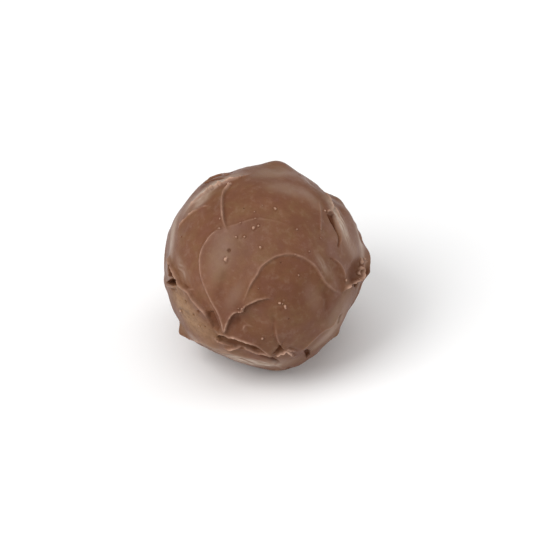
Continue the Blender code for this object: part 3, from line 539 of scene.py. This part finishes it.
def ridge_relief(points):
    """The height that the ridges add at each direction, how far they push it sideways, the share of painted
    highlight on their seams, which can pass 1, and the share of painted shade along the steep feet."""
    squares = np.zeros(len(points))
    grooves = np.zeros(len(points))
    shade = np.zeros(len(points))
    seams = np.zeros(len(points))
    crest_highlight = np.zeros(len(points))
    push = np.zeros((len(points), 3))
    wander = unevenness(points, WANDER_NOISE)
    ragged = unevenness(points, RAGGED_NOISE)
    patchy = np.clip(unevenness(points, SEAM_NOISE, SEAM_MEAN), SEAM_LEAST, SEAM_MOST)
    for ridge in RIDGES:
        near, sideways, share, past, left = beside(points, ridge, RIDGE_REACH)
        sideways = sideways + ridge.torn * WANDER * wander[near]
        strength = end_fade(share, past, ridge.start, ridge.end)
        strength = strength * np.clip(1 - ridge.torn * ragged[near], RAGGED_LEAST, RAGGED_MOST)
        rounded = np.sqrt(sideways**2 + CREST_RADIUS**2) - CREST_RADIUS
        width = np.where(sideways > 0, ridge.left, ridge.right)
        fade = smooth((RIDGE_REACH - np.abs(sideways) - past) / RIDGE_FADE)
        squares[near] += (ridge.height * strength * fade * np.exp(-rounded / width)) ** 2
        steep = 1.0 if ridge.left < ridge.right else -1.0
        grooves[near] += ridge.groove * strength * bell(sideways * steep - GROOVE_PLACE, GROOVE_WIDTH)
        on_wall = bell(sideways * steep - WALL_PLACE, WALL_WIDTH)
        shade[near] += min(1.0, GROOVE_SHADE * ridge.groove) * strength * on_wall
        over = ridge.lean * strength * bell(sideways, LEAN_REACH)
        push[near] += (steep * over)[:, None] * left
        uneven = 1 + (patchy[near] - 1) * min(1.0, SEAM_PATCHY + SEAM_PATCHY_TORN * ridge.torn)
        seam = strength * uneven * bell(sideways, THREAD_WIDTH)
        seams[near] = np.maximum(seams[near], ridge.thread * seam)
        crest_highlight[near] = np.maximum(crest_highlight[near], min(1.0, ridge.thread / THREAD_FULL) * seam)
    return np.sqrt(squares) + seams - grooves, push, crest_highlight, shade


def crack_relief(points):
    """The depth of the cracks at each direction."""
    depth = np.zeros(len(points))
    for crack in CRACKS:
        near, sideways, share, past, _ = beside(points, crack, CRACK_REACH * crack.width)
        strength = end_fade(share, past, CRACK_FADE, CRACK_FADE)
        depth[near] += crack.depth * strength * bell(sideways, crack.width)
    return depth


def ripple_relief(points):
    """The height that the ripples add at each direction."""
    height = np.zeros(len(points))
    wander = unevenness(points, RIPPLE_WANDER_NOISE)
    uneven = np.clip(unevenness(points, RIPPLE_NOISE, RIPPLE_MEAN), 0.0, RIPPLE_MOST)
    for ripples in RIPPLES:
        near, sideways, share, past, _ = beside(points, ripples, RIPPLE_REACH * ripples.width)
        window = np.exp(-((sideways / ripples.width) ** 4)) * bell(past, RIPPLE_END_REACH)
        window = window * smooth(share / RIPPLE_FADE) * smooth((1 - share) / RIPPLE_FADE)
        phase = sideways / ripples.spacing + wander[near]
        height[near] += ripples.height * uneven[near] * window * np.sin(2 * math.pi * phase)
    return height


def lump_relief(points):
    """The height that the broad rises add at each direction."""
    height = np.zeros(len(points))
    for lump in LUMPS:
        height += lump.height * bell(away_from(points, lump.side, lump.x, lump.y, BALL_RADIUS), lump.reach)
    return height


def inside_hollow(points, hollow):
    """How far into a hollow each direction is, from 0 outside it to 1 in its middle."""
    middle = on_ball(hollow.side, hollow.x, hollow.y)
    turn = math.radians(hollow.turn)
    further_x = hollow.x + TURN_STEP * math.cos(turn)
    further_y = hollow.y + TURN_STEP * math.sin(turn)
    onward = on_ball(hollow.side, further_x, further_y)
    long_way = unit(onward - middle * (onward @ middle))
    short_way = np.cross(middle, long_way)
    offset = (points - middle) * BALL_RADIUS
    spread = (offset @ long_way / hollow.long) ** 2 + (offset @ short_way / hollow.short) ** 2
    return np.where(points @ middle > 0, np.exp(-(spread**HOLLOW_POWER)), 0.0)


def soft_patches(points, patches):
    """The depth, or the share of colour, that a table of hollows gives at each direction."""
    return sum(patch.depth * inside_hollow(points, patch) for patch in patches)


def pit_margin(points, pit):
    """Each direction's distance inside the nearest side of a pit, negative outside."""
    corners = [on_ball(pit.side, x, y) for x, y in pit.corners]
    middle = unit(np.mean(corners, axis=0))
    margin = np.full(len(points), np.inf)
    for a, b in zip(corners, corners[1:] + corners[:1]):
        wall = unit(np.cross(a, b))
        wall = wall * np.sign(wall @ middle)
        margin = np.minimum(margin, points @ wall * BALL_RADIUS)
    return np.where(points @ middle > 0, margin, -np.inf)


def pit_relief(points):
    """The depth of the pits at each direction, and the share of painted shade there."""
    depth = np.zeros(len(points))
    dark = np.zeros(len(points))
    for pit in PITS:
        inside = smooth(0.5 + pit_margin(points, pit) / pit.soft)
        depth += pit.depth * inside
        dark += pit.dark * inside
    return depth, dark


def pore_relief(points):
    """The depth of the pores at each direction, and the share of painted shade there."""
    depth = np.zeros(len(points))
    dark = np.zeros(len(points))
    for pore in PORES:
        inside = np.exp(-((away_from(points, FRONT, pore.x, pore.y) / pore.radius) ** 3))
        depth = np.maximum(depth, pore.radius * inside)
        dark = np.maximum(dark, PORE_DARK * inside)
    return depth, dark


def bead_relief(points):
    """The height of the beads at each direction, and the share of shadow round their feet."""
    height = np.zeros(len(points))
    foot_shade = np.zeros(len(points))
    lopsided = unevenness(points, BEAD_NOISE, 1.0)
    for bead in BEADS:
        out = away_from(points, FRONT, bead.x, bead.y) * lopsided / (BEAD_SPREAD * bead.radius)
        height = np.maximum(height, BEAD_HEIGHT * bead.radius * np.exp(-(out**3)))
        foot_shade = np.maximum(foot_shade, bell(out - FOOT_PLACE, FOOT_WIDTH))
    return height, foot_shade


def shaped(points):
    """The chocolate's surface in millimetres, from its middle, for each direction, and the shares there of
    painted highlight on seams and beads, painted shade, the scuffed patch and painted sheen."""
    raised, push, crest_highlight, wall_shade = ridge_relief(points)
    beads, bead_foot_shade = bead_relief(points)
    cracks = crack_relief(points)
    pits, pit_shade = pit_relief(points)
    pores, pore_shade = pore_relief(points)
    hollows = soft_patches(points, HOLLOWS)
    ripples = ripple_relief(points)
    swell = unevenness(points, SWELL_NOISE)
    radius = BALL_RADIUS + raised + beads + ripples + lump_relief(points) + swell
    radius = radius - hollows - cracks - pits - pores
    surface = points * radius[:, None] + push
    surface[:, 2] = np.maximum(surface[:, 2], -CENTRE_HEIGHT)
    # painted highlight on the beads' tops
    bead_highlights = np.clip(beads / BEAD_HIGHLIGHT_HEIGHT - BEAD_HIGHLIGHT_START, 0, BEAD_HIGHLIGHT_MOST)
    crest_highlight = np.maximum(crest_highlight, bead_highlights)
    # painted shade in deep hollows, cracks, pits, pores, shade patches, along steep feet and round bead feet
    deep_shade = np.clip((hollows - DEEP_HOLLOW) / DEEP_SPAN, 0, 1)
    cavity_shade = deep_shade + cracks / CRACK_FULL + pit_shade + pore_shade + soft_patches(points, SHADES)
    cavity_shade = np.clip(cavity_shade + WALL_DARK * wall_shade + FOOT_DARK * bead_foot_shade, 0, 1)
    cavity_shade = cavity_shade * (1 - CREST_CLEAR * np.clip(crest_highlight, 0, 1))
    scuffed = inside_hollow(points, SCUFF)
    # painted sheen, streaked by the ripples
    sheen = np.clip(soft_patches(points, SHEEN) * (1 + RIPPLE_SHEEN * ripples), 0, 1)
    return surface, {"crest_highlight": crest_highlight, "cavity_shade": cavity_shade, "scuffed": scuffed, "sheen": sheen}


def nearness(points, curve, reach):
    """Which directions may lie within reach mm of a curve, and how far from it they are."""
    near, sideways, _, past, _ = beside(points, curve, reach)
    return near, np.hypot(sideways, past)


def wanted_edge(points):
    """The length of the mesh's edges, in millimetres, that the relief needs at each direction."""
    edge = np.full(len(points), np.inf)
    for ridge in RIDGES:
        near, away = nearness(points, ridge, SEARCH_REACH)
        fine = FINE_EDGE if ridge.side == FRONT else COARSE_EDGE
        edge[near] = np.minimum(edge[near], np.where(away < RIDGE_FOOT_REACH, COARSE_EDGE, np.inf))
        edge[near] = np.minimum(edge[near], np.where(away < RIDGE_TOP_REACH, fine, np.inf))
    for crack in CRACKS:
        near, away = nearness(points, crack, SEARCH_REACH)
        edge[near] = np.minimum(edge[near], np.where(away < CRACK_EDGE_REACH, COARSE_EDGE, np.inf))
    for ripples in RIPPLES:
        near, away = nearness(points, ripples, ripples.width)
        edge[near] = np.minimum(edge[near], np.where(away < ripples.width, COARSE_EDGE, np.inf))
    for bead in BEADS + PORES:
        away = away_from(points, FRONT, bead.x, bead.y)
        edge = np.minimum(edge, np.where(away < bead.radius + BEAD_MARGIN, FINE_EDGE, np.inf))
    for hollow in HOLLOWS:
        if hollow.short < NARROW_HOLLOW:
            away = away_from(points, hollow.side, hollow.x, hollow.y)
            edge = np.minimum(edge, np.where(away < hollow.long + HOLLOW_MARGIN, FINE_EDGE, np.inf))
    for pit in PITS:
        on_wall = np.abs(pit_margin(points, pit)) < PIT_WALL_REACH
        edge = np.minimum(edge, np.where(on_wall, FINE_EDGE, np.inf))
    return edge


def vertex_table(mesh):
    return np.array([vertex.co[:] for vertex in mesh.verts])


def coating():
    """The fine mesh of the whole bonbon: even triangles, with smaller ones where the relief is fine."""
    mesh = bmesh.new()
    bmesh.ops.create_icosphere(mesh, subdivisions=START_DIVISIONS, radius=1.0)
    for limit in (LONG_EDGE * COARSE_EDGE, LONG_EDGE * FINE_EDGE):
        middles = unit(np.array([(edge.verts[0].co + edge.verts[1].co)[:] for edge in mesh.edges]))
        lengths = np.array([edge.calc_length() for edge in mesh.edges]) * BALL_RADIUS
        too_long = (lengths > limit) & (lengths > LONG_EDGE * wanted_edge(middles))
        split = [edge for edge, chosen in zip(mesh.edges, too_long) if chosen]
        bmesh.ops.subdivide_edges(mesh, edges=split, cuts=1, use_grid_fill=True)
        bmesh.ops.triangulate(mesh, faces=mesh.faces[:])
        for vertex in mesh.verts:
            vertex.co.normalize()
    surface, shares = shaped(unit(vertex_table(mesh)))
    surface = (surface + np.array([0.0, 0.0, CENTRE_HEIGHT])) * MM
    for vertex, place in zip(mesh.verts, surface):
        vertex.co = place
    data = bpy.data.meshes.new("bonbon_coating")
    mesh.to_mesh(data)
    mesh.free()
    data.shade_smooth()
    for name, share in shares.items():
        attribute = data.attributes.new(name, "FLOAT", "POINT")
        attribute.data.foreach_set("value", share.astype(np.float32))
    coat = bpy.data.objects.new("bonbon_coating", data)
    bpy.context.scene.collection.objects.link(coat)
    return coat


# The chocolate's colours and gloss, as the shader takes them.
BROWN = (0.169, 0.071, 0.036, 1.0)
BROWN_DARK = (0.135, 0.053, 0.026, 1.0)
BROWN_OLIVE = (0.159, 0.076, 0.034, 1.0)
BROWN_MAUVE = (0.154, 0.062, 0.038, 1.0)
BROWN_GREY = (0.31, 0.195, 0.140, 1.0)
# painted sheen: a greyer reflection of the pale studio
SHEEN_GREY = (0.46, 0.355, 0.28, 1.0)
# painted highlight on the seams and beads
SEAM_HIGHLIGHT_PINK = (0.54, 0.335, 0.245, 1.0)
# painted shade in hollows, cracks, pits and pores, along steep feet and round bead feet
CAVITY_SHADE_RED = (0.070, 0.018, 0.005, 1.0)
SCUFF_TAN = (0.290, 0.163, 0.080, 1.0)
SCUFF_DARK = (0.180, 0.095, 0.044, 1.0)
CAVITY_SHADE_MOST = 0.9
SPECULAR = 0.16
CAVITY_SPECULAR = 0.02
BUMP_STRENGTH = 0.5
BUMP_DISTANCE = 0.00006

# Noise textures, from the broadest to the finest.
Grain = namedtuple("Grain", "scale detail roughness")
BROAD = Grain(170.0, 3.0, 0.55)
PATCHES = Grain(330.0, 4.0, 0.6)
MOTTLE = Grain(900.0, 3.0, 0.6)
FINEST = Grain(2600.0, 4.0, 0.7)

# A ramp takes a value between low and high to one between start and end.
Ramp = namedtuple("Ramp", "low high start end", defaults=(0.0, 1.0))
LIGHT_AREAS = Ramp(0.35, 0.65)
OLIVE_AREAS = Ramp(0.5, 0.68, 0.0, 0.8)
MAUVE_AREAS = Ramp(0.48, 0.32, 0.0, 0.8)
DARK_SPOTS = Ramp(0.52, 0.7, 0.0, 0.6)
GREY_SPOTS = Ramp(0.48, 0.3, 0.0, 0.18)
SHEEN_MOTTLE = Ramp(0.35, 0.65, 0.55, 1.0)
SCUFF_SPOTS = Ramp(0.45, 0.68)
SCUFF_CRUMBS = Ramp(0.56, 0.68, 0.0, 0.8)
SCUFF_GRAIN = Ramp(0.3, 0.6, 0.6, 1.0)
SEAM_SPOTS = Ramp(0.35, 0.65, 0.5, 1.0)
DULLNESS = Ramp(0.3, 0.7, 0.38, 0.54)
SHINE = Ramp(0.0, 1.0, SPECULAR, CAVITY_SPECULAR)

# The numbers of the colour sockets of a mix node.
FIRST_COLOUR = 6
SECOND_COLOUR = 7
MIXED_COLOUR = 2


def link(tree, start, end):
    tree.links.new(start, end)


def noise_node(tree, place, grain):
    node = tree.nodes.new("ShaderNodeTexNoise")
    node.inputs["Scale"].default_value = grain.scale
    node.inputs["Detail"].default_value = grain.detail
    node.inputs["Roughness"].default_value = grain.roughness
    link(tree, place, node.inputs["Vector"])
    return node.outputs["Fac"]


def ramp_node(tree, value, ramp):
    node = tree.nodes.new("ShaderNodeMapRange")
    node.inputs["From Min"].default_value = ramp.low
    node.inputs["From Max"].default_value = ramp.high
    node.inputs["To Min"].default_value = ramp.start
    node.inputs["To Max"].default_value = ramp.end
    link(tree, value, node.inputs["Value"])
    return node.outputs["Result"]


def mix_node(tree, share, first, second):
    """Mixes two colours, each of them a node's output or a plain colour."""
    node = tree.nodes.new("ShaderNodeMix")
    node.data_type = "RGBA"
    link(tree, share, node.inputs["Factor"])
    for colour, socket in ((first, node.inputs[FIRST_COLOUR]), (second, node.inputs[SECOND_COLOUR])):
        if isinstance(colour, tuple):
            socket.default_value = colour
        else:
            link(tree, colour, socket)
    return node.outputs[MIXED_COLOUR]


def product(tree, first, second):
    """The product of a node's output and another's, or a number."""
    node = tree.nodes.new("ShaderNodeMath")
    node.operation = "MULTIPLY"
    link(tree, first, node.inputs[0])
    if isinstance(second, float):
        node.inputs[1].default_value = second
    else:
        link(tree, second, node.inputs[1])
    return node.outputs[0]


def share_node(tree, name):
    """One of the shares that the mesh holds for each of its points."""
    node = tree.nodes.new("ShaderNodeAttribute")
    node.attribute_name = name
    return node.outputs["Fac"]


def milk_chocolate():
    """Mottled brown, then the painted sheen, the scuffed patch, the painted highlight on the seams and beads,
    and the painted shade over it.
    """
    material = bpy.data.materials.new("milk_chocolate")
    material.use_nodes = True
    tree = material.node_tree
    shader = tree.nodes["Principled BSDF"]
    place = tree.nodes.new("ShaderNodeTexCoord").outputs["Object"]
    broad = noise_node(tree, place, BROAD)
    patches = noise_node(tree, place, PATCHES)
    mottle = noise_node(tree, place, MOTTLE)
    finest = noise_node(tree, place, FINEST)
    colour = mix_node(tree, ramp_node(tree, broad, LIGHT_AREAS), BROWN_DARK, BROWN)
    colour = mix_node(tree, ramp_node(tree, patches, OLIVE_AREAS), colour, BROWN_OLIVE)
    colour = mix_node(tree, ramp_node(tree, patches, MAUVE_AREAS), colour, BROWN_MAUVE)
    colour = mix_node(tree, ramp_node(tree, mottle, DARK_SPOTS), colour, BROWN_DARK)
    colour = mix_node(tree, ramp_node(tree, mottle, GREY_SPOTS), colour, BROWN_GREY)
    # painted sheen
    sheen = product(tree, share_node(tree, "sheen"), ramp_node(tree, mottle, SHEEN_MOTTLE))
    colour = mix_node(tree, sheen, colour, SHEEN_GREY)
    tan = mix_node(tree, ramp_node(tree, mottle, SCUFF_SPOTS), SCUFF_TAN, SCUFF_DARK)
    tan = mix_node(tree, ramp_node(tree, finest, SCUFF_CRUMBS), tan, BROWN_DARK)
    scuffed = product(tree, share_node(tree, "scuffed"), ramp_node(tree, finest, SCUFF_GRAIN))
    colour = mix_node(tree, scuffed, colour, tan)
    # painted highlight on the seams and beads
    seam = product(tree, share_node(tree, "crest_highlight"), ramp_node(tree, mottle, SEAM_SPOTS))
    colour = mix_node(tree, seam, colour, SEAM_HIGHLIGHT_PINK)
    # painted shade
    colour = mix_node(tree, product(tree, share_node(tree, "cavity_shade"), CAVITY_SHADE_MOST), colour, CAVITY_SHADE_RED)
    link(tree, colour, shader.inputs["Base Color"])
    link(tree, ramp_node(tree, patches, DULLNESS), shader.inputs["Roughness"])
    link(tree, ramp_node(tree, share_node(tree, "cavity_shade"), SHINE), shader.inputs["Specular IOR Level"])
    bump = tree.nodes.new("ShaderNodeBump")
    bump.inputs["Strength"].default_value = BUMP_STRENGTH
    bump.inputs["Distance"].default_value = BUMP_DISTANCE
    link(tree, finest, bump.inputs["Height"])
    link(tree, bump.outputs["Normal"], shader.inputs["Normal"])
    return material


# The studio. The floor's and lamps' sizes are in metres, the camera's and the photograph's in millimetres and
# pixels.
FLOOR_REACH = 1.5
FLOOR_WHITE = (0.92, 0.92, 0.92, 1.0)
FLOOR_ROUGHNESS = 0.9
PIXEL = 0.155
PHOTO_SIDE = 533
BALL_MIDDLE_PIXEL = (264.5, 266.5)
CAMERA_DISTANCE = 1000.0
SENSOR = 36.0
WORLD_WHITE = (1.0, 1.0, 1.0, 1.0)
WORLD_STRENGTH = 0.44

# Where each lamp stands, in degrees round and above the bonbon, its distance and size in metres, and its
# power in watts.
Lamp = namedtuple("Lamp", "name azimuth elevation distance size power")
LAMPS = [
    Lamp("key", -55, 50, 0.6, 0.35, 2.3),
    Lamp("top", 10, 85, 0.7, 0.5, 1.3),
    Lamp("low_left", -60, 8, 0.7, 0.4, 0.8),
    Lamp("right", 105, 15, 0.6, 0.4, 1.4),
]


def plain(name, colour, roughness):
    material = bpy.data.materials.new(name)
    material.use_nodes = True
    shader = material.node_tree.nodes["Principled BSDF"]
    shader.inputs["Base Color"].default_value = colour
    shader.inputs["Roughness"].default_value = roughness
    return material


def floor():
    mesh = bmesh.new()
    bmesh.ops.create_grid(mesh, x_segments=1, y_segments=1, size=FLOOR_REACH)
    data = bpy.data.meshes.new("floor")
    mesh.to_mesh(data)
    mesh.free()
    data.materials.append(plain("pale_floor", FLOOR_WHITE, FLOOR_ROUGHNESS))
    ground = bpy.data.objects.new("floor", data)
    bpy.context.scene.collection.objects.link(ground)


def turned_to(outward):
    """The rotation of a lamp or camera that stands in that direction and looks back."""
    return Vector(-outward).to_track_quat("-Z", "Y").to_euler()


def softbox(lamp):
    """A square lamp, turned to the bonbon."""
    _, _, outward = side_axes(Side(lamp.azimuth, lamp.elevation))
    data = bpy.data.lights.new(lamp.name, "AREA")
    data.shape = "SQUARE"
    data.size = lamp.size
    data.energy = lamp.power
    box = bpy.data.objects.new(lamp.name, data)
    box.location = outward * lamp.distance + np.array([0.0, 0.0, CENTRE_HEIGHT * MM])
    box.rotation_euler = turned_to(outward)
    bpy.context.scene.collection.objects.link(box)


def studio():
    """Even light from all round, and the lamps."""
    world = bpy.data.worlds.new("studio")
    world.use_nodes = True
    back = world.node_tree.nodes["Background"]
    back.inputs["Color"].default_value = WORLD_WHITE
    back.inputs["Strength"].default_value = WORLD_STRENGTH
    bpy.context.scene.world = world
    for lamp in LAMPS:
        softbox(lamp)
    bpy.context.scene.view_settings.view_transform = "Standard"


def camera():
    """A camera that sees the bonbon as the photograph does, at the same place in the frame."""
    right, up, outward = side_axes(FRONT)
    middle = np.array([0.0, 0.0, CENTRE_HEIGHT])
    aim = middle + right * (PHOTO_SIDE / 2 - BALL_MIDDLE_PIXEL[0]) * PIXEL
    aim = aim + up * (BALL_MIDDLE_PIXEL[1] - PHOTO_SIDE / 2) * PIXEL
    data = bpy.data.cameras.new("camera")
    data.sensor_width = SENSOR
    data.lens = SENSOR * CAMERA_DISTANCE / (PHOTO_SIDE * PIXEL)
    eye = bpy.data.objects.new("camera", data)
    eye.location = (aim + outward * CAMERA_DISTANCE) * MM
    eye.rotation_euler = turned_to(outward)
    bpy.context.scene.collection.objects.link(eye)
    bpy.context.scene.camera = eye


piece = coating()
piece.data.materials.append(milk_chocolate())
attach(piece, "root")
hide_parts("bonbon")
floor()
studio()
camera()
